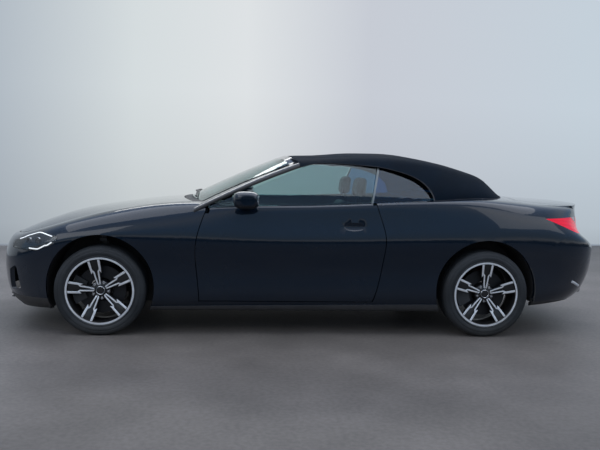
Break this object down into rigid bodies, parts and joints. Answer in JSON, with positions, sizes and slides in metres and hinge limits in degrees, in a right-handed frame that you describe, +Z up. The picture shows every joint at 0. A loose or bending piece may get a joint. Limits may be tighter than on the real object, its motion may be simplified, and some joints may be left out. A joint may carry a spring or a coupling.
{
  "type": "two-door convertible car",
  "caption": "Two-door convertible car with raised fabric top, opening doors, bonnet, boot lid and fuel flap, steered front wheels and four rolling wheels.",
  "frame": {"origin": "on the ground below the middle of the car's length and width", "axes": "+X from nose to tail, +Y to the car's right, +Z up"},
  "size_m": [4.7702, 2.0856, 1.3834],
  "materials": {
    "paint": "dark blue-black metallic paint with a gloss clear coat",
    "black_trim": "gloss black plastic",
    "dark_plastic": "grained matte black plastic",
    "skirt_satin": "satin dark grey plastic",
    "fabric_top": "black woven fabric",
    "glass": "lightly tinted glass",
    "lamp_lens": "clear lens",
    "red_lens": "red lens",
    "bright_metal": "satin bright metal",
    "rim_metal": "machined and black painted aluminium",
    "tyre": "matte black rubber",
    "chassis": "dark painted steel",
    "iron": "bare cast iron",
    "seat_leather": "pale leather",
    "interior": "soft dark plastic",
    "exhaust_steel": "stainless steel"
  },
  "bodies": {
    "root": {"arch_liners": "dark_plastic", "cowl": "dark_plastic", "dashboard": "interior", "engine": "iron", "exhaust": "exhaust_steel", "fender_left": "paint", "fender_right": "paint", "front_axle": "chassis", "front_bumper": "paint", "front_seats": "seat_leather", "grilles": "black_trim", "headlamps": "lamp_lens", "quarter_glass": "glass", "quarter_left": "paint", "quarter_right": "paint", "radiator": "iron", "rear_axle": "chassis", "rear_bumper": "paint", "rear_deck": "paint", "rear_seat": "seat_leather", "rear_window": "glass", "side_frame_left": "chassis", "side_frame_right": "chassis", "side_skirts": "skirt_satin", "soft_top": "fabric_top", "tail_lamps": "red_lens", "underbody": "chassis", "window_dividers": "bright_metal", "windscreen": "glass", "windscreen_frame": "paint"},
    "bonnet": {"bonnet": "paint"},
    "boot_lid": {"boot_lid": "paint", "lid_lamps": "red_lens"},
    "door_left": {"door_glass_left": "glass", "door_left": "paint", "mirror_left": "black_trim"},
    "door_right": {"door_glass_right": "glass", "door_right": "paint", "mirror_right": "black_trim"},
    "fuel_flap": {"fuel_flap": "paint"},
    "knuckle_left": {"knuckle_left": "iron"},
    "knuckle_right": {"knuckle_right": "iron"},
    "wheel_front_left": {"rim_front_left": "rim_metal", "tyre_front_left": "tyre"},
    "wheel_front_right": {"rim_front_right": "rim_metal", "tyre_front_right": "tyre"},
    "wheel_rear_left": {"rim_rear_left": "rim_metal", "tyre_rear_left": "tyre"},
    "wheel_rear_right": {"rim_rear_right": "rim_metal", "tyre_rear_right": "tyre"},
    "steering_wheel": {"steering_wheel": "interior"}
  },
  "joints": [
    {"name": "steer_left", "type": "hinge", "parent": "root", "child": "knuckle_left", "pos_m": [-1.539, -0.7275, 0.326], "axis": [0, 0, 1], "range_deg": [-35, 35]},
    {"name": "steer_right", "type": "hinge", "parent": "root", "child": "knuckle_right", "pos_m": [-1.539, 0.7275, 0.326], "axis": [0, 0, 1], "range_deg": [-35, 35]},
    {"name": "roll_front_left", "type": "hinge", "parent": "knuckle_left", "child": "wheel_front_left", "pos_m": [-1.539, -0.7875, 0.326], "axis": [0, 1, 0], "continuous": true},
    {"name": "roll_rear_left", "type": "hinge", "parent": "root", "child": "wheel_rear_left", "pos_m": [1.312, -0.8, 0.326], "axis": [0, 1, 0], "continuous": true},
    {"name": "roll_front_right", "type": "hinge", "parent": "knuckle_right", "child": "wheel_front_right", "pos_m": [-1.539, 0.7875, 0.326], "axis": [0, 1, 0], "continuous": true},
    {"name": "roll_rear_right", "type": "hinge", "parent": "root", "child": "wheel_rear_right", "pos_m": [1.312, 0.8, 0.326], "axis": [0, 1, 0], "continuous": true},
    {"name": "steering_column", "type": "hinge", "parent": "root", "child": "steering_wheel", "pos_m": [-0.45505, -0.38429, 0.83496], "axis": [0.9272, 0, 0.3746], "range_deg": [-500, 500]},
    {"name": "door_hinge_left", "type": "hinge", "parent": "root", "child": "door_left", "pos_m": [-0.79204, -0.89317, 0.583], "axis": [0, 0, -1], "range_deg": [0, 65]},
    {"name": "door_hinge_right", "type": "hinge", "parent": "root", "child": "door_right", "pos_m": [-0.79204, 0.89317, 0.583], "axis": [0, 0, 1], "range_deg": [0, 65]},
    {"name": "bonnet_hinge", "type": "hinge", "parent": "root", "child": "bonnet", "pos_m": [-0.87757, 0, 0.99333], "axis": [0, 1, 0], "range_deg": [0, 50]},
    {"name": "boot_hinge", "type": "hinge", "parent": "root", "child": "boot_lid", "pos_m": [1.63203, 0, 1.05947], "axis": [0, -1, 0], "range_deg": [0, 70]},
    {"name": "flap_hinge", "type": "hinge", "parent": "root", "child": "fuel_flap", "pos_m": [1.3224, 0.906, 0.8851], "axis": [0, 0, 1], "range_deg": [0, 80]}
  ],
  "couplings": [
    {"joint": "steer_right", "follows": "steer_left", "ratio": 1},
    {"joint": "steering_column", "follows": "steer_left", "ratio": 14}
  ]
}
